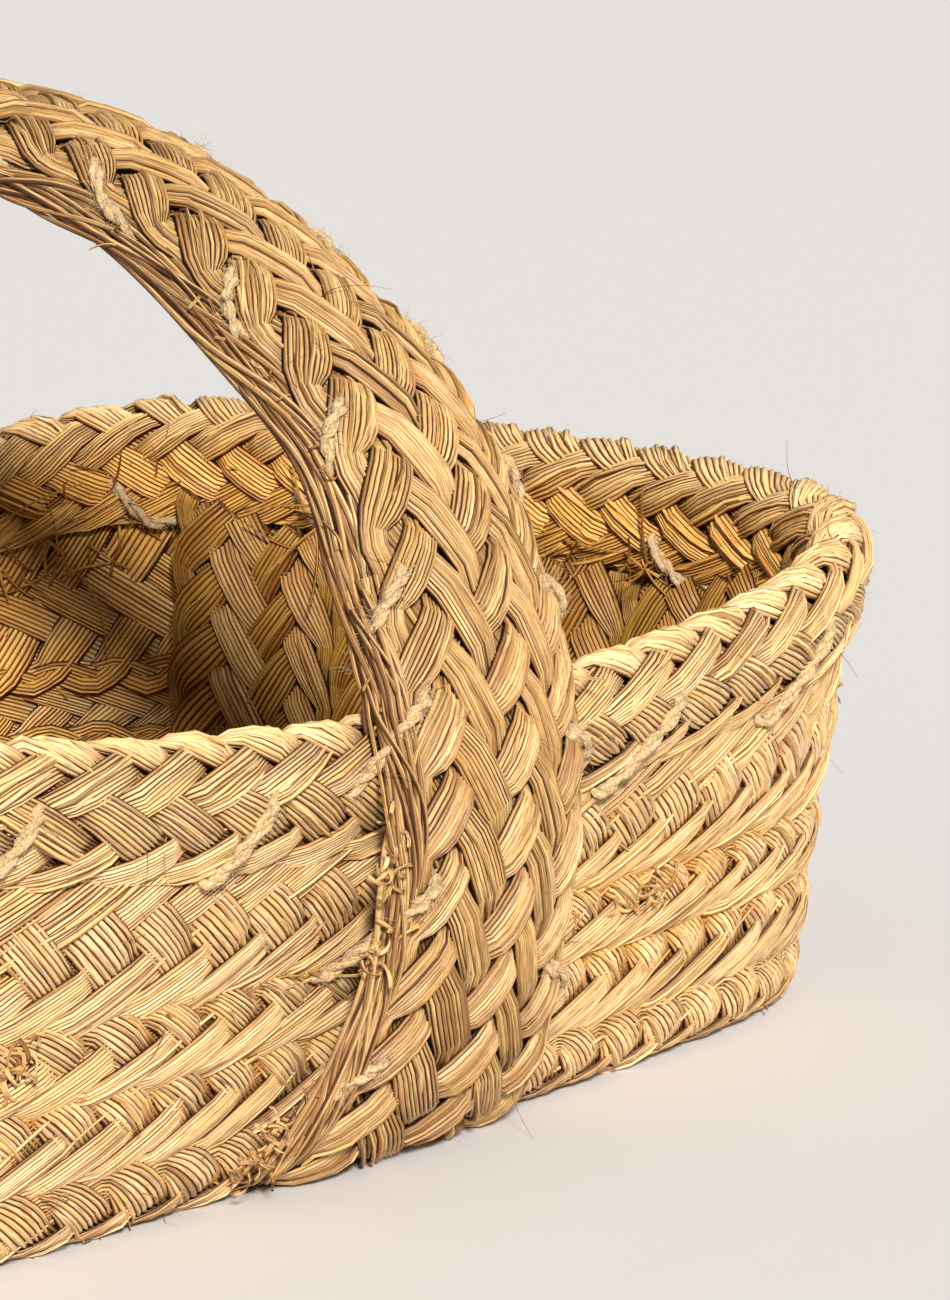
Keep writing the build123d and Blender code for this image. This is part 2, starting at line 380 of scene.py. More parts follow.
def close_tubes(name, mesh, points, stem_data, hidden=0.0):
    """Puts the vertices at their points, none below the table, welds seams and ends, makes the object."""
    points[:, 2] = np.maximum(points[:, 2], 0.0)
    mesh.vertices.foreach_set("co", (points * MM).astype(np.float32).ravel())
    stems = mesh.attributes.new("stems", "FLOAT_VECTOR", "POINT")
    stems.data.foreach_set("vector", stem_data.astype(np.float32).ravel())
    # Weight of painted shade and bounce light inside the basket, for the material.
    inner = mesh.attributes.new("inner", "FLOAT", "POINT")
    inner.data.foreach_set("value", painted_inside_shade(points).astype(np.float32))
    # Weight of painted shade under other strands and along a strand's edges, for the material.
    shaded = mesh.attributes.new("hidden", "FLOAT", "POINT")
    shaded.data.foreach_set("value", (hidden + np.zeros(len(points))).astype(np.float32))
    bm = bmesh.new()
    bm.from_mesh(mesh)
    bmesh.ops.remove_doubles(bm, verts=bm.verts, dist=2e-6)
    bmesh.ops.recalc_face_normals(bm, faces=bm.faces)
    for face in bm.faces:
        face.smooth = True
    bm.to_mesh(mesh)
    bm.free()
    mesh.name = name
    piece = bpy.data.objects.new(name, mesh)
    bpy.context.collection.objects.link(piece)
    return piece


def zigzag(phase, strands):
    """Sideways place from -1 to 1 of a strand that turns smoothly at the edges, and which way it goes."""
    k = math.sin((strands - 1) / strands * math.pi / 2)
    angle = 2 * np.pi * phase
    return np.arcsin(k * np.sin(angle)) / math.asin(k), np.sign(np.cos(angle))


def loose_stems(name, surface, paths, count, thick, rng, rings=26, around=5):
    """Single stems that lie on a strand, drift across it and dive back under at both ends."""
    strands, samples = paths["u"].shape
    mesh, stem, ring, place = grid_tubes(count, rings, around)
    own, start = rng.integers(0, strands, count), rng.integers(2, samples - rings - 3, count)
    first, last = rng.uniform(-0.95, 0.95, count), rng.uniform(-0.95, 0.95, count)
    share, cap = share_and_cap(ring, rings)
    lateral = first[stem] + (last[stem] - first[stem]) * share * 0.7 + 0.12 * np.sin(share * 9 + stem)
    pick = (own[stem], start[stem] + ring)
    angle = place / around * 2 * np.pi
    radius = cap * rng.uniform(0.36, 0.68, count)[stem]
    across = lateral * paths["wide"][pick] * 0.92 + radius * np.cos(angle)
    dome = np.sqrt(np.clip(1 - np.abs(lateral) ** 4, 0, 1))
    tuck = 1.7 * (np.clip(1 - share * 12, 0, 1) + np.clip(share * 12 - 11, 0, 1))
    lying = rng.uniform(0.15, 0.75, count)[stem]
    height = paths["rise"][pick] + dome * thick / 2 + lying - tuck + radius * np.sin(angle)
    u = paths["u"][pick] + paths["side_u"][pick] * across
    v = paths["v"][pick] + paths["side_v"][pick] * across
    along = paths["line"][start[stem] + ring]
    stem_data = np.stack([along, stem + 0.5 + 0.40 * np.cos(angle), 0 * u + 7.7], -1)
    return close_tubes(name, mesh, surface(u, v, height), stem_data)


def plait(name, surface, start, length, half_v, strands, rise, fall, stems, step, over=2, thick=2.3,
          lift=1.5, pinch=0.1, back=4, widen=1.04, bias=0.0, widths=(5.0, 12.0), whole_turns=False,
          loose=60, ribs=1.0, seed=1):
    """Plaits one braid on a surface, from start over length, half_v to each side of its middle.

    For each gap across, a strand moves along by rise gaps on its way out and fall gaps on its way back.
    It rises by lift over its neighbours, unevenly where there is a bias, and narrows by pinch where it
    dives. Ribs is how far its stems stand out, back the number of faces across its underside.
    """
    rng = np.random.default_rng(seed)
    gap = 2 * half_v / (strands - 1)
    pitch = gap * (rise + fall)
    if whole_turns:
        pitch = length / round(length / pitch)
    mean, shear = pitch / gap / 2, (rise - fall) / 2
    rings = int(length * math.hypot(1, 1 / mean) / step)
    around = 2 * stems + back
    mesh, strand, ring, place = grid_tubes(strands, rings, around)

    line_u = np.clip((np.arange(rings + 1) - 1) / (rings - 2), 0, 1) * length
    phase = (line_u[None, :] + np.arange(strands)[:, None] * pitch) / (strands * pitch)
    across, going = zigzag(phase, strands)
    v_mid = across * half_v
    u_mid = start + line_u[None, :] + shear * v_mid
    du, dv = np.gradient(u_mid, axis=1), np.gradient(v_mid, axis=1)
    size = np.hypot(du, dv) + 1e-9
    side_u, side_v = -dv / size, du / size
    wide = np.clip(pitch * np.abs(dv) / size, widths[0], widths[1]) / 2 * widen
    wave = np.sin(np.pi * (v_mid + half_v) / (over * gap))
    rise_over = np.tanh(2.6 * going * (wave + bias)) * lift * np.clip((1 - np.abs(across)) * 10, 0, 1)
    strand_seed = rng.random(strands)
    swing = np.sin(line_u[None, :] * 0.11 + strand_seed[:, None] * 40) * 0.45
    wide = wide * (1 + 0.12 * np.sin(line_u[None, :] * 0.07 + strand_seed[:, None] * 90))
    wide = wide * (1 - pinch * (1 - np.abs(wave)) * np.clip((1 - np.abs(across)) * 6, 0, 1) + pinch * 0.35)

    top = place <= 2 * stems
    lateral = np.where(top, -1 + place / stems, 1 - 2 * (place - 2 * stems) / back)
    dome = np.sqrt(np.clip(1 - np.abs(lateral) ** 3, 0, 1))
    valley = (place % 2 == 0)
    stem = np.rint((lateral + 1) / 2 * stems - 0.5)
    wobble = np.sin(line_u[ring] * 0.09 + stem * 7.3 + strand_seed[strand] * 60 + seed)
    proud = np.sin(stem * 12.9 + strand_seed[strand] * 78 + line_u[ring] * 0.021)
    rib = np.where(top, np.where(valley, -0.72, 0.26 + 0.18 * wobble + 0.28 * proud), 0) * ribs
    sway = np.sin(line_u[ring] * 0.055 + strand_seed[strand] * 33 + stem * 0.9)
    sway = sway * 0.28 / stems * np.where(top, dome, 0)
    profile = np.where(top, dome * thick / 2 + rib * (dome > 0.1), -dome * thick / 2)
    _, cap = share_and_cap(ring, rings)
    profile, spread = profile * cap, (lateral + sway) * cap
    tilt = 0.42 * thick * 0.5 * lateral * cap

    pick = (strand, ring)
    u = u_mid[pick] + side_u[pick] * spread * wide[pick]
    v = v_mid[pick] + side_v[pick] * spread * wide[pick] + swing[pick]
    height = rise_over[pick] + tilt + profile
    points = surface(u, v, height)
    along = line_u[ring] * math.hypot(1, 1 / mean)
    stem_data = np.stack([along, (lateral + 1) / 2 * stems, strand_seed[strand] * 37 + seed * 3.1], -1)
    # Painted shade: darker along a strand's edges and where it dives under its neighbours, weaker on its
    # underside.
    beneath = np.clip(0.1 - np.where(top, 1, -1) * rise_over[pick] / lift, 0, 1)
    hidden = np.maximum(np.clip(np.abs(lateral) * 4.2 - 3.2, 0, 1) * 0.8, beneath * 0.7)
    hidden = hidden * np.where(top, 1.0, 0.35)
    piece = close_tubes(name, mesh, points, stem_data, hidden)
    if loose:
        paths = dict(u=u_mid, v=v_mid, side_u=side_u, side_v=side_v, wide=wide, rise=rise_over, line=line_u)
        piece["loose_stems"] = loose_stems(name + "_loose_stems", surface, paths, loose, thick, rng).name
    triangles = sum(len(polygon.vertices) - 2 for polygon in mesh.polygons)
    print(name, "strands", strands, "pitch", round(pitch, 1), "triangles", triangles)
    return piece


# %% [markdown]
# ## Shader helpers
# Materials are written as sums on node sockets, because a sum is easier to read than a list of
# nodes and links. A small class wraps a socket and lets Python's operators add Math nodes; any
# other node comes from one method.
# %% Shader helpers
class Wire:
    """One output socket of a material's node tree, with arithmetic."""

    def __init__(self, tree, socket):
        self.tree, self.socket = tree, socket

    def node(self, kind, settings=None, inputs=None, output=0):
        made = self.tree.nodes.new(kind)
        for key, value in (settings or {}).items():
            if key == "stops":
                ramp = made.color_ramp
                while len(ramp.elements) < len(value):
                    ramp.elements.new(0.5)
                for element, (position, colour) in zip(ramp.elements, value):
                    element.position, element.color = position, (*colour, 1.0)
            else:
                setattr(made, key, value)
        for key, value in (inputs or {}).items():
            if isinstance(value, Wire):
                self.tree.links.new(value.socket, made.inputs[key])
            else:
                made.inputs[key].default_value = value
        return Wire(self.tree, made.outputs[output])

    def math(self, operation, other=0.0, swap=False):
        first, second = (other, self) if swap else (self, other)
        return self.node("ShaderNodeMath", {"operation": operation}, {0: first, 1: second})

    def __add__(self, other):
        return self.math("ADD", other)

    def __sub__(self, other):
        return self.math("SUBTRACT", other)

    def __rsub__(self, other):
        return self.math("SUBTRACT", other, True)

    def __mul__(self, other):
        return self.math("MULTIPLY", other)

    __radd__, __rmul__ = __add__, __mul__

    def mix(self, first, second):
        """Mixes two colours, this socket being the share of the second."""
        return self.node("ShaderNodeMix", {"data_type": "RGBA"}, {0: self, 6: first, 7: second}, output=2)


def new_material(name):
    material = bpy.data.materials.new(name)
    material.use_nodes = True
    tree = material.node_tree
    shader = tree.nodes["Principled BSDF"]
    return material, tree, shader


# %% [markdown]
# ## The dry grass
# An esparto stem is a leaf rolled up tight. It is golden straw, paler where the sun bleached it
# and brown along the roll's seam. The dark lines between the stems of a strand are partly that
# seam and partly painted shade in the creases between stems. Each stem has its own tone, that
# tone drifts along its length, and fine fibres run along it. Painted shade darkens a strand at
# its edges and where it dives under its neighbours, and painted shade, warmed as if by light
# bounced off the grass, makes the inside of the basket darker and more golden. A pattern on
# plain coordinates would run straight through the plait, so all of this follows the attributes
# of the mesh: distance along, place across in stems, a number for the strand, and the weights of
# painted shade inside the basket and under other strands.
# %% The grass material
# BROWN is the grass's own brown. The dark colour is partly the roll's brown seam and partly painted shade in
# the creases between stems.
BROWN, SEAM_AND_SHADE_DARK = (0.32, 0.130, 0.032), (0.095, 0.031, 0.008)


def grass_material(name, pale, golden, brown_and_crease_shade):
    """Grass between two straw tones; the last argument sets how many stems and streaks are brown and how wide
    the dark lines between stems are, which are partly seam and partly painted shade.
    """
    material, tree, shader = new_material(name)
    data = Wire(tree, None).node("ShaderNodeAttribute", {"attribute_name": "stems"}, output=1)
    # Weights of painted shade: inside the basket, and under other strands or at a strand's edge.
    inner = data.node("ShaderNodeAttribute", {"attribute_name": "inner"}, output=2)
    hidden = data.node("ShaderNodeAttribute", {"attribute_name": "hidden"}, output=2)
    along = data.node("ShaderNodeSeparateXYZ", None, {0: data}, output=0)
    across = Wire(tree, along.socket.node.outputs[1])
    strand = Wire(tree, along.socket.node.outputs[2])
    stem = across.math("FLOOR")
    place = across - stem

    def vector(x, y, z):
        return along.node("ShaderNodeCombineXYZ", None, {0: x, 1: y, 2: z})

    def noise(x, y, z, scale, detail=2.0):
        inputs = {"Vector": vector(x, y, z), "Scale": scale, "Detail": detail}
        return along.node("ShaderNodeTexNoise", {"noise_dimensions": "3D"}, inputs)

    own = along.node("ShaderNodeTexWhiteNoise", {"noise_dimensions": "3D"},
                     {"Vector": vector(stem, strand, 0.5)})
    drift = noise(along * 0.030, stem * 3.7, strand * 5.1, 1.0)
    fibre = noise(along * 0.12, across * 5.0, strand, 1.6, 3.0)
    seam_side = noise(along * 0.020, stem * 9.1, strand * 2.3, 1.0)
    patch = noise(along * 0.012, stem * 0.25, strand * 11.0, 1.0)

    def clamp(value, low, high):
        return value.node("ShaderNodeMapRange", {"clamp": True}, {0: value, 1: low, 2: high, 3: 0.0, 4: 1.0})

    tone = clamp(own * 0.60 + drift * 0.75, 0.30, 1.0)
    colour = tone.mix((*golden, 1), (*pale, 1))
    colour = (clamp(own * 0.45 + patch, 0.82 - brown_and_crease_shade, 1.03 - brown_and_crease_shade) * 0.85).mix(colour, (*BROWN, 1))
    streak = clamp(fibre + seam_side * 0.40, 0.68 - brown_and_crease_shade * 0.5, 0.88) * 0.75
    colour = streak.mix(colour, (*BROWN, 1))
    # Dark lines along the edges of every stem: partly the brown seam, partly painted shade in the crease
    # between stems.
    from_middle = (place - 0.5).math("ABSOLUTE") * 2.0
    seam_and_crease_shade = clamp(from_middle + seam_side * 0.60, 0.97 - brown_and_crease_shade, 1.15 - brown_and_crease_shade)
    colour = seam_and_crease_shade.mix(colour, (*SEAM_AND_SHADE_DARK, 1))
    shade = {"data_type": "RGBA", "blend_type": "MULTIPLY"}
    # Painted shade: a golden tint inside the basket stands in for its shade and the light bounced off the
    # grass, and a dark brown tint stands in for the shade under other strands and along their edges.
    for share, tint in ((inner, (1.0, 0.80, 0.41, 1)), (hidden, (0.43, 0.285, 0.155, 1))):
        colour = colour.node("ShaderNodeMix", shade, {0: share, 6: colour, 7: tint}, output=2)
    tree.links.new(colour.socket, shader.inputs["Base Color"])
    rough = 0.40 + fibre * 0.18 + seam_and_crease_shade * 0.2
    tree.links.new(rough.socket, shader.inputs["Roughness"])
    ridge = 1.0 - from_middle * from_middle
    relief = ridge + fibre * 0.20
    bump = relief.node("ShaderNodeBump", None, {"Height": relief, "Strength": 1.0, "Distance": 0.0009})
    tree.links.new(bump.socket, shader.inputs["Normal"])
    shader.inputs["Specular IOR Level"].default_value = 0.5
    return material


grass_wall = grass_material("esparto_wall", (1.0, 0.715, 0.390), (0.88, 0.520, 0.185), -0.03)
grass_rim = grass_material("esparto_rim", (1.0, 0.720, 0.385), (0.92, 0.550, 0.195), -0.06)
grass_handle = grass_material("esparto_handle", (0.97, 0.675, 0.315), (0.67, 0.365, 0.100), 0.08)
# The base braids lie inside the basket, so they get a darker copy of the grass as painted shade; the handle's
# filling uses it too.
grass_base_in_shade = grass_material("esparto_base", (0.60, 0.425, 0.165), (0.45, 0.290, 0.085), 0.06)
grass_bundle = grass_material("esparto_handle_bundle", (0.93, 0.625, 0.295), (0.62, 0.340, 0.105), 0.11)
print("materials", [m.name for m in bpy.data.materials])


# %% [markdown]
# ## Putting a piece in its place
# Nothing on the basket moves, so every piece rides on the one body. Each gets its material and
# hides the solids that it stands for. One helper does all of this, so that no piece is
# forgotten, and it takes the braid's loose stems along.
# %% Finish a piece
def place_piece(piece, material, slot, *nodes):
    """Gives a piece its material and its body, and hides the solids that it stands for; slot is not used."""
    piece.data.materials.clear()
    piece.data.materials.append(material)
    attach(piece, "root")
    if nodes:
        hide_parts(*nodes)
    if "loose_stems" in piece:
        place_piece(bpy.data.objects[piece["loose_stems"]], material, slot)
    return piece


# %% [markdown]
# ## The wall courses
# Four braids go round the wall, sewn edge to edge. Their strands lie flat one way and steep
# the other, because the maker pulls the braid tight from one edge. They differ only in width
# and slant, so a loop plaits them from the top one down.
# %% Plait the courses
wall = dict(start=0, length=GIRTH, whole_turns=True, stems=9, back=8, widths=(7.8, 12.4), thick=2.0,
            lift=1.15, pinch=0.05, ribs=0.85)
COURSES = [(first_course, 21.5, 9, 2.3, 1.05, 4.6, 0.15, 160),
           (second_course, 9.2, 5, 2.6, 1.3, 4.2, 0.20, 60),
           (third_course, 11.0, 5, 2.2, 0.95, 4.2, 0.42, 60),
           (fourth_course, 11.5, 5, 2.2, 0.95, 4.2, 0.30, 60)]
for number, (surface, half_v, strands, rise, fall, step, bias, loose) in enumerate(COURSES, 1):
    braid = plait(f"wall_course_{number}_braid", surface, half_v=half_v, strands=strands, rise=rise,
                  fall=fall, step=step, bias=bias, loose=loose, seed=10 + number, **wall)
    place_piece(braid, grass_wall, "esparto_wall", f"wall_course_{number}")

# %% [markdown]
# ## The rim
# The rim is one wide braid folded over the wall's edge, so half of it shows outside and half
# inside. Two braids back to back would show a seam on top, so its profile is one line that goes
# up, over the edge and down again, and a single braid follows it.
# %% Plait the rim
rim = plait("rim_fold_braid", rim_surface, start=0, length=GIRTH, half_v=33.0, strands=15, rise=2.25,
            fall=1.75, stems=9, step=5.0, back=3, widths=(7.2, 9.6), whole_turns=True, thick=2.5, lift=1.8,
            pinch=0.10, widen=1.07, loose=220, ribs=0.72, seed=21)
place_piece(rim, grass_rim, "esparto_rim", "rim_braid")

# %% [markdown]
# ## The handle
# A wide herringbone braid of eleven strands makes the outer face, all the way round the loop,
# so that no joint shows on the arch. A second, narrower one lines the arch only, and the two
# are sewn together along their edges.
# %% Plait the handle
outer = plait("handle_outer_face", outer_surface, start=0, length=LOOP_LENGTH, half_v=HANDLE_HALF - 0.5,
              strands=11, rise=1.10, fall=1.75, stems=10, step=4.6, back=3, widths=(6.6, 11.6),
              whole_turns=True, thick=2.6, lift=2.1, pinch=0.12, widen=0.99, loose=260, ribs=0.9, seed=31)
place_piece(outer, grass_handle, "esparto_handle", "handle_outer_braid")
arch_length = LOOP_LENGTH - 2 * near_rim_u - 4
lining = plait("handle_lining_face", lining_surface, start=near_rim_u + 2, length=arch_length, half_v=28,
               strands=9, rise=1.15, fall=1.15, stems=8, step=4.5, back=3, widths=(7.0, 10), thick=2.7,
               lift=1.7, seed=32)
place_piece(lining, grass_handle, "esparto_handle", "handle_lining_braid")

# %% [markdown]
# ## Filling between the handle's two braids
# Loose stems fill the space between the two braids, so the handle feels round in the hand. They
# hardly show, so one flat tube stands for them all and keeps light out of the seams.
# %% Fill the handle
def fill_handle(rings, around):
    """One flat tube along the arch, halfway between its two braids."""
    mesh, _, ring, place = grid_tubes(1, rings, around)
    share, cap = share_and_cap(ring, rings)
    angle = place / around * 2 * np.pi
    u = near_rim_u - 20 + share * (LOOP_LENGTH - 2 * near_rim_u + 40)
    y, z, out_y, out_z = loop_at(u)
    half = np.interp(z, BAND_HEIGHTS, BAND_RIGHT) - 4.5
    depth = 10.5 - 4.5 * np.sin(angle) * cap
    points = np.stack([half * np.cos(angle) * cap, y - out_y * depth, z - out_z * depth], -1)
    return close_tubes("handle_filling", mesh, points, np.stack([u, angle * 6, 0 * u + 3.3], -1))


filling = fill_handle(160, 32)
place_piece(filling, grass_base_in_shade, "esparto_handle")
print("filling", len(filling.data.polygons), "faces")

# %% [markdown]
# ## Jute twine
# The twine is two loosely twisted plies with a felt of short hairs. It is greyer and paler
# than the grass. One smooth tube would look like wire, so both plies and every hair are meshes
# swept along the stitch's line, which dips into the braids at both ends.
# %% The twine's material
def twine_material():
    material, tree, shader = new_material("jute_twine")
    data = Wire(tree, None).node("ShaderNodeAttribute", {"attribute_name": "stems"}, output=1)
    grain = data.node("ShaderNodeTexNoise", None, {"Vector": data, "Scale": 2.6, "Detail": 3.0})
    stops = [(0.28, (0.27, 0.160, 0.068)), (0.46, (0.55, 0.370, 0.175)), (0.70, (0.80, 0.595, 0.33))]
    colour = grain.node("ShaderNodeValToRGB", {"stops": stops}, {0: grain})
    tree.links.new(colour.socket, shader.inputs["Base Color"])
    bump = grain.node("ShaderNodeBump", None, {"Height": grain, "Strength": 0.7, "Distance": 0.0005})
    tree.links.new(bump.socket, shader.inputs["Normal"])
    shader.inputs["Roughness"].default_value = 0.9
    shader.inputs["Specular IOR Level"].default_value = 0.15
    shader.inputs["Sheen Weight"].default_value = 0.2
    return material


jute = twine_material()
print("material", jute.name)

# %% [markdown]
# Each stitch is a smooth curve through five points. `stitch_frames` walks along it and keeps
# two directions square to it, which the plies turn about.
# %% Stitch helpers
def smooth_path(points, samples):
    """Catmull-Rom curve through a few points."""
    points = np.array(points, float)
    padded = np.vstack([2 * points[0] - points[1], points, 2 * points[-1] - points[-2]])
    t = np.linspace(0, len(points) - 1 - 1e-9, samples)
    i = t.astype(int)
    f = (t - i)[:, None]
    p0, p1, p2, p3 = padded[i], padded[i + 1], padded[i + 2], padded[i + 3]
    bend, turn = 2 * p0 - 5 * p1 + 4 * p2 - p3, 3 * p1 - p0 - 3 * p2 + p3
    return 0.5 * (2 * p1 + (p2 - p0) * f + bend * f ** 2 + turn * f ** 3)


def stitch_frames(paths):
    """Directions square to each path: (tangent, first, second)."""
    tangent = np.gradient(paths, axis=1)
    tangent /= np.linalg.norm(tangent, axis=2)[..., None]
    first = np.cross(tangent, np.array([0.31, 0.27, 0.91]))
    first /= np.linalg.norm(first, axis=2)[..., None]
    return tangent, first, np.cross(tangent, first)


def turned(angle, first, second):
    """Direction at an angle between two directions that are square to each other."""
    return np.cos(angle)[:, None] * first + np.sin(angle)[:, None] * second


def twine_stitches(name, lines, radius=1.05, twist=0.42, samples=30, hairs=130, seed=5):
    """Two-ply twine with hairs along each line of a few points."""
    rng = np.random.default_rng(seed)
    paths = np.stack([smooth_path(line, samples + 1) for line in lines])
    tangent, first, second = stitch_frames(paths)
    steps = np.linalg.norm(np.diff(paths, axis=1), axis=2)
    distance = np.concatenate([np.zeros((len(lines), 1)), np.cumsum(steps, 1)], 1)

    mesh, strand, ring, place = grid_tubes(2 * len(lines), samples, 8)
    line, ply = strand // 2, strand % 2
    pick = (line, ring)
    turn = distance[pick] * twist + ply * np.pi
    angle = place / 8 * 2 * np.pi
    _, cap = share_and_cap(ring, samples)
    slim = cap * radius * (1 + 0.22 * np.sin(distance[pick] * 1.7 + line * 2.1 + ply))
    points = paths[pick] + 0.72 * radius * turned(turn, first[pick], second[pick])
    points = points + slim[:, None] * turned(angle, first[pick], second[pick])
    stem_data = np.stack([distance[pick] * 0.5, angle + ply * 9, line * 3.7], -1)
    twine = close_tubes(name, mesh, points, stem_data)

    count = hairs * len(lines)
    where = (np.repeat(np.arange(len(lines)), hairs), rng.integers(2, samples - 2, count))
    spin = rng.random(count) * 2 * np.pi
    out = turned(spin, first[where], second[where])
    lean = tangent[where] * rng.normal(0, 1.3, count)[:, None] + out * rng.uniform(0.25, 1.0, count)[:, None]
    lean /= np.linalg.norm(lean, axis=1)[:, None]
    root = paths[where] + out * radius * 1.2
    hair = fibre_tubes(name + "_hairs", root, lean, rng.uniform(1.5, 5.0, count), 0.085, rng, rings=5,
                       around=3, bend=0.9)
    return twine, hair


def fibre_tubes(name, root, direction, length, radius, rng, rings=7, around=4, bend=0.5, taper=0.7, hook=0.0):
    """Thin curved fibres from their roots in their directions; hook is the angle each curls through."""
    count = len(root)
    mesh, strand, ring, place = grid_tubes(count, rings, around)
    share, cap = share_and_cap(ring, rings)
    curl = rng.normal(0, 1, (count, 3))
    curl -= direction * (curl * direction).sum(1)[:, None]
    curl /= np.linalg.norm(curl, axis=1)[:, None] + 1e-9
    other = np.cross(direction, curl)
    amount = rng.uniform(0.2, 1.0, count) * bend
    reach = (share * length[strand])[:, None]
    middle = (root[strand] + direction[strand] * reach
              + curl[strand] * reach * (share * amount[strand])[:, None])
    if hook:
        bow = (length / hook)[strand][:, None]
        angle = (hook * share * (0.6 + 0.4 * amount[strand] / bend))[:, None]
        middle = root[strand] + direction[strand] * bow * np.sin(angle)
        middle = middle + curl[strand] * bow * (1 - np.cos(angle))
    angle = place / around * 2 * np.pi
    size = cap * radius * (1 - taper * share)
    points = middle + size[:, None] * turned(angle, curl[strand], other[strand])
    stem_data = np.stack([reach[:, 0], 0.5 + 0.35 * np.cos(angle) + strand, strand * 0.37], -1)
    return close_tubes(name, mesh, points, stem_data)


# %% [markdown]
# ## The rim's stitches
# Slanting stitches hold the rim down to the course below, outside and inside, about 60 mm
# apart. Under the handle's legs there are none. Their points are given in the braids' own
# measures, so each stitch lies on the plait wherever the wall bends.
# %% Sew the rim
NEAR_MIDDLE, STITCH_STEP = GIRTH / 2, 61.5


def at(surface, u, v, height):
    return surface(np.array([float(u)]), np.array([float(v)]), np.array([float(height)]))[0]


rng = np.random.default_rng(3)
stitch_places = [NEAR_MIDDLE + x for x in (-140, -76, 58, 122)]
stitch_places += [NEAR_MIDDLE + 182 + STITCH_STEP * k for k in range(15)]
outside_lines, inside_lines = [], []
for u in stitch_places:
    if abs(at(rim_surface, u, 0, 0)[0]) < 48:
        continue
    slant = rng.uniform(7, 9)
    outside_lines.append([
        at(rim_surface, u + slant + 3, -12, -1.5), at(rim_surface, u + slant, -16, 3.6),
        at(rim_surface, u, -26, 4.0), at(rim_surface, u - slant, -34, 3.6),
        at(first_course, u - slant - 2, 13, -2.0)])
    inside_lines.append([
        at(rim_surface, u + slant + 4, 20, -1.5), at(rim_surface, u + slant, 24, 3.6),
        at(rim_surface, u, 33.5, 3.4), at(first_course, u - slant, 10, -4.4),
        at(first_course, u - slant - 4, 6, -0.5)])
rim_twine, rim_hairs = twine_stitches("rim_twine", outside_lines + inside_lines, seed=5)
place_piece(rim_twine, jute, "jute_twine", "rim_stitches")
place_piece(rim_hairs, jute, "jute_twine")
print("rim stitches", len(outside_lines), "outside and", len(inside_lines), "inside")

# %% [markdown]
# ## The handle's stitches
# Stitches wrap both edges of the handle. On the arch they go round into the lining, on the
# legs they go into the wall. Both kinds start alike on the outer face, so each kind is a short
# function of its place, its side and its slant.
# %% Sew the handle
def arch_stitch(u, side, slant):
    """Line of a stitch round one edge of the arch."""
    return [at(outer_surface, u + slant + 3, side * 27, -1.0), at(outer_surface, u + slant, side * 31, 3.4),
            at(outer_surface, u + 0.2 * slant, side * 37.5, 2.4),
            at(lining_surface, u - slant, side * 31.5, 2.4),
            at(lining_surface, u - slant - 3, side * 26, -1.0)]


def leg_stitch(u, side, slant):
    """Line of a stitch from the edge of a leg to the wall."""
    _, z, _, _ = loop_at(np.array([u]))
    edge = at(outer_surface, u, side * 37, 0)
    turn = NEAR_MIDDLE if edge[1] < 0 else 0.0
    along = 1 if edge[1] < 0 else -1
    low = float(z[0]) - abs(slant) * 1.6
    x1, y1, _, _ = plan(turn + along * (edge[0] + side * 3), low, 3.4)
    x2, y2, _, _ = plan(turn + along * (edge[0] + side * 5), low - 5, -2.5)
    return [at(outer_surface, u + slant + 3, side * 27, -1.0), at(outer_surface, u + slant, side * 31, 3.4),
            at(outer_surface, u + 0.3 * slant, side * 37, 2.6), [x1, y1, low], [x2, y2, low - 4]]


edges = (("left", -1, (17, 61, 101, 147, 190), (-9, -52, -94), 6),
         ("right", 1, (10, 39, 76, 110, 150, 190), (-25, -82), 7))
for name, side, arch, leg, seed in edges:
    lines = []
    for step in arch:
        lines.append(arch_stitch(near_rim_u + step, side, rng.uniform(7, 10)))
        lines.append(arch_stitch(LOOP_LENGTH - near_rim_u - step, side, rng.uniform(7, 10)))
    for step in leg:
        lines.append(leg_stitch(near_rim_u + step, side, 7))
        lines.append(leg_stitch(LOOP_LENGTH - near_rim_u - step, side, -7))
    twine, hairs = twine_stitches("handle_twine_" + name, lines, seed=seed)
    place_piece(twine, jute, "jute_twine", "handle_stitches_" + name)
    place_piece(hairs, jute, "jute_twine")
    print("handle stitches", name, len(lines))

# %% [markdown]
# ## Bundles along the handle's edges
# The maker laid bundles of loose stems between the two braids, and they show along both edges.
# On the near left leg a thicker bundle sweeps down over the edge to the foot. A textured tube
# would have no gaps, so every stem of a bundle is a tube of its own, and all of them turn
# slowly about the bundle's line.
# %% Lay the bundles
def bundle(name, surface, u_range, v_line, height_line, stems, radius, twist, rng, rings=150, around=5,
           thin=0.55):
    """Stems lying together along a line on a surface and turning slowly about each other."""
    mesh, stem, ring, place = grid_tubes(stems, rings, around)
    share, cap = share_and_cap(ring, rings)
    begin, end = rng.uniform(0, 0.10, stems), rng.uniform(0.88, 1.0, stems)
    share = begin[stem] + (end - begin)[stem] * share
    u = u_range[0] + share * (u_range[1] - u_range[0])
    away, spin = np.sqrt(rng.random(stems)) * radius, rng.random(stems) * 2 * np.pi
    turn = spin[stem] + twist * u + 0.7 * np.sin(u * 0.05 + stem)
    spread = away[stem] * (1 + 0.35 * np.sin(u * 0.033 + stem * 2.0))
    angle = place / around * 2 * np.pi
    section = cap * thin * rng.uniform(0.8, 1.2, stems)[stem]
    v = np.interp(share, *v_line) + spread * np.cos(turn) + section * np.cos(angle)
    height = np.interp(share, *height_line) + spread * np.sin(turn) + section * np.sin(angle)
    stem_data = np.stack([u, stem + 0.5 + 0.42 * np.cos(angle), 0 * u + 5.1], -1)
    return close_tubes(name, mesh, surface(u, v, height), stem_data)


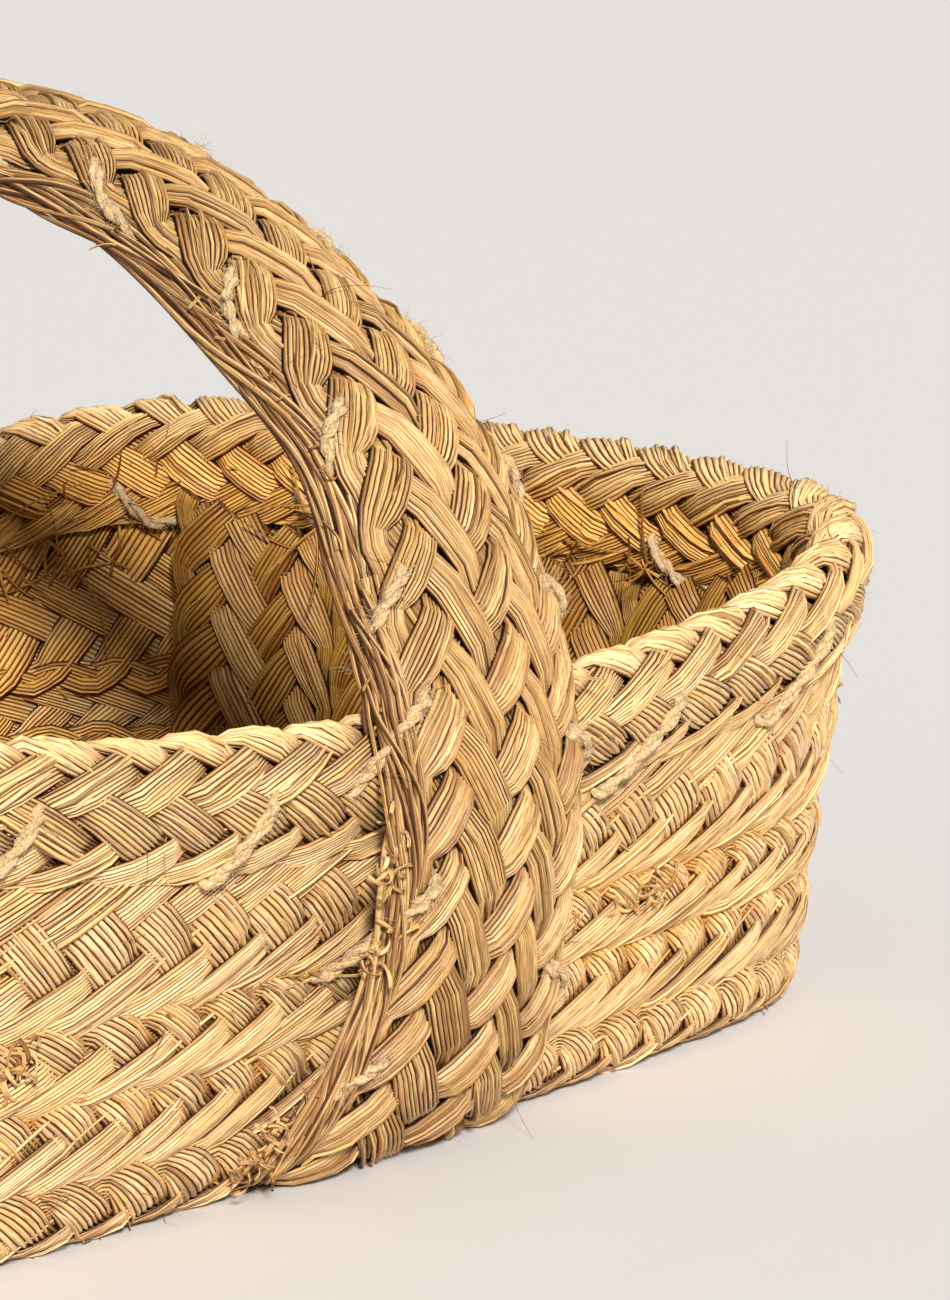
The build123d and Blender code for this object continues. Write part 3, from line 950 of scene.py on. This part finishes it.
rng = np.random.default_rng(12)
edge_u = (near_rim_u - 8, LOOP_LENGTH - near_rim_u + 8)
for name, side, stems, depth in (("left", -1, 46, -4.6), ("right", 1, 20, -5.5)):
    piece = bundle("handle_bundle_" + name, outer_surface, edge_u, ([0, 1], [side * 36.5] * 2),
                   ([0, 1], [depth] * 2), stems, 3.6, 0.02, rng, thin=0.60)
    place_piece(piece, grass_bundle, "esparto_handle")
sweep_u = (near_rim_u + 30, near_rim_u - 136)
sweep = bundle("handle_foot_bundle", outer_surface, sweep_u, ([0, 0.35, 0.75, 1], [-36, -37.5, -37, -38]),
               ([0, 0.3, 0.7, 1], [-3, 0.4, 1.0, -0.5]), 46, 3.5, 0.05, rng, rings=60)
place_piece(sweep, grass_bundle, "esparto_handle")
print("foot bundle", len(sweep.data.polygons), "faces")

# %% [markdown]
# ## Loose ends
# Where a strand ran out, the maker laid in a new one and left its end standing. Short cut
# stubs stand along the handle's edges, at the foot and in the seams between the courses, some
# of them curled, longer ends stand inside under the rim, and finer fibres stray from every
# braid. Hair particles aren't part of an exported mesh, so they are tubes scattered over the
# braids' surfaces by a seeded random generator.
# %% Stubs and stray fibres
def scatter(surface, u, v, height, rng, outward=1.0, sideways=0.6):
    """Roots on a surface, and directions that lean out of it."""
    root = surface(u, v, height)
    out = surface(u, v, height + 1.0) - root
    along = surface(u + 1.0, v, height) - root
    along /= np.linalg.norm(along, axis=1)[:, None]
    across = np.cross(out, along)
    direction = out * outward + along * rng.normal(0, sideways, len(u))[:, None]
    direction = direction + across * rng.normal(0, sideways, len(u))[:, None]
    return root, direction / np.linalg.norm(direction, axis=1)[:, None]


def lay_ends(name, slot, places, lengths, radius, **shape):
    """Lays one fibre at every scattered place."""
    roots, directions = (np.vstack([place[i] for place in places]) for i in (0, 1))
    reach = rng.uniform(*lengths, len(roots))
    piece = fibre_tubes(name, roots, directions, reach, radius, rng, **shape)
    place_piece(piece, grass_handle, slot)
    print(name, len(piece.data.polygons), "faces")


rng = np.random.default_rng(8)
stub_sets = []
for side, count in ((-1, 150), (1, 60)):
    u = rng.uniform(near_rim_u - 110, LOOP_LENGTH - near_rim_u + 110, count)
    spots_v, depth = side * rng.uniform(35, 39, count), rng.uniform(-7, -1, count)
    stub_sets.append(scatter(outer_surface, u, spots_v, depth, rng, 0.2, 0.8))
for surface, v_edge, count in ((first_course, -21.5, 110), (second_course, -12.5, 80),
                               (third_course, -11, 80), (fourth_course, -3, 60)):
    u = rng.uniform(0, GIRTH, count)
    u = np.where(rng.random(count) < 0.45, NEAR_MIDDLE + rng.normal(-75, 60, count), u)
    spots_v, height = v_edge + rng.normal(0, 1.5, count), rng.uniform(0, 1.5, count)
    stub_sets.append(scatter(surface, u, spots_v, height, rng, 0.45, 1.0))
lay_ends("cut_stubs", "esparto_handle", stub_sets, (3, 7), 0.45, rings=8, around=6, bend=1.2, taper=0.25)

# %% Curled ends and ends inside
knots = []
for surface, u, v, spread, count in (
        (second_course, NEAR_MIDDLE - 136, 3, 6, 20), (second_course, NEAR_MIDDLE + 82, 3, 6, 20),
        (first_course, NEAR_MIDDLE + 190, -4, 5, 10), (outer_surface, near_rim_u - 36, -41, 5, 12),
        (outer_surface, near_rim_u - 58, -42, 5, 14), (outer_surface, near_rim_u - 110, -46, 6, 26)):
    spots_u, spots_v = u + rng.normal(0, spread, count), v + rng.normal(0, 1.8, count)
    knots.append(scatter(surface, spots_u, spots_v, rng.uniform(0.5, 2.0, count), rng, 0.7, 0.8))
lay_ends("curled_ends", "esparto_handle", knots, (5, 11), 0.55, rings=14, around=7, bend=1.0, taper=0.15,
         hook=3.0)

frayed = []
for surface, low, high, v, height, count in (
        (first_course, GIRTH - 200, GIRTH - 8, 15, -3.4, 60),
        (first_course, GIRTH - 190, GIRTH - 20, 2, -3.4, 46),
        (first_course, 0, GIRTH, 14, -3.4, 90), (first_course, GIRTH * 0.70, GIRTH * 0.80, 12, -7.5, 40)):
    spots_u, spots_v = rng.uniform(low, high, count), v + rng.normal(0, 2.5, count)
    heights = height + rng.uniform(-0.8, 0.4, count)
    frayed.append(scatter(surface, spots_u, spots_v, heights, rng, -0.30, 0.75))
lay_ends("inside_ends", "esparto_wall", frayed, (7, 24), 0.42, rings=12, around=6, bend=0.9, taper=0.35)

# %% Stray fibres
stray_sets = []
for surface, low, high, total, span in (
        (outer_surface, -36, 36, 90, (near_rim_u - 120, LOOP_LENGTH - near_rim_u + 120)),
        (rim_surface, -33, 33, 120, (0, GIRTH)), (first_course, -20, 10, 60, (0, GIRTH)),
        (second_course, -11, 11, 50, (0, GIRTH)), (fourth_course, -4, 10, 60, (0, GIRTH))):
    u = rng.uniform(*span, total)
    spots_v, height = rng.uniform(low, high, total), rng.uniform(0.5, 2.0, total)
    stray_sets.append(scatter(surface, u, spots_v, height, rng, 0.28, 1.0))
lay_ends("stray_fibres", "esparto_handle", stray_sets, (4, 15), 0.14, rings=9, around=4, bend=1.2)

# %% [markdown]
# ## The base
# Four wide braids run along the base and turn up inside both ends, with a narrow braid at each
# side. Each is plaited in its own solid's place.
# %% Plait the base
flat = dict(rise=1.5, fall=1.5, stems=8, step=5.0)
for number in range(4):
    node = f"base_braid_{number + 1}"
    low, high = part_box(node)
    middle = (low.y + high.y) / 2 / MM
    reach = float(end_wall(np.array([middle]), BASE_Z)[0]) - BEND
    half_length = reach + BEND * math.pi / 2 + (high.z / MM - BASE_Z - BEND)
    braid = plait(f"{node}_plait", base_surface(middle, True), start=-half_length, length=2 * half_length,
                  half_v=22.9, strands=9, seed=41 + number, **flat)
    place_piece(braid, grass_base_in_shade, "esparto_base", node)
for node, side in (("base_braid_edge_near", -1), ("base_braid_edge_far", 1)):
    low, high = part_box(node)
    middle = (low.y + high.y) / 2 / MM - side * 2.5
    reach = high.x / MM * 0.93
    braid = plait(f"{node}_plait", base_surface(middle, False), start=-reach, length=2 * reach, half_v=10.9,
                  strands=5, seed=47 + side, **flat)
    place_piece(braid, grass_base_in_shade, "esparto_base", node)

# %% [markdown]
# ## Floor and light
# A plain pale floor and studio light: a lamp with a slightly soft edge from the front left
# draws the stems, a broad weak one from the front right and an even sky fill the shadows.
# %% Floor and lights
bm = bmesh.new()
bmesh.ops.create_grid(bm, x_segments=2, y_segments=2, size=12.0)
floor_mesh = bpy.data.meshes.new("floor")
bm.to_mesh(floor_mesh)
bm.free()
floor = bpy.data.objects.new("floor", floor_mesh)
bpy.context.collection.objects.link(floor)
floor_material, floor_tree, floor_shader = new_material("pale_floor")
floor_shader.inputs["Base Color"].default_value = (0.733, 0.712, 0.692, 1)
floor_shader.inputs["Roughness"].default_value = 0.9
floor_shader.inputs["Specular IOR Level"].default_value = 0.1
floor_mesh.materials.append(floor_material)

world = bpy.data.worlds.new("studio")
bpy.context.scene.world = world
world.use_nodes = True
world.node_tree.nodes["Background"].inputs[0].default_value = (1.0, 0.985, 0.96, 1)
world.node_tree.nodes["Background"].inputs[1].default_value = 0.33


def lamp(name, direction, spread, power, colour):
    data = bpy.data.lights.new(name, "SUN")
    data.angle, data.energy, data.color = math.radians(spread), power, colour
    made = bpy.data.objects.new(name, data)
    bpy.context.collection.objects.link(made)
    made.rotation_euler = (-Vector(direction)).to_track_quat("-Z", "Y").to_euler()


lamp("key", (-0.70, -0.74, 0.53), 8, 4.7, (1.0, 0.985, 0.965))
lamp("fill", (0.75, -0.80, 0.35), 60, 0.7, (1.0, 1.0, 1.0))
bpy.context.scene.view_settings.view_transform = "Standard"
print("lamps", [made.name for made in bpy.data.lights])
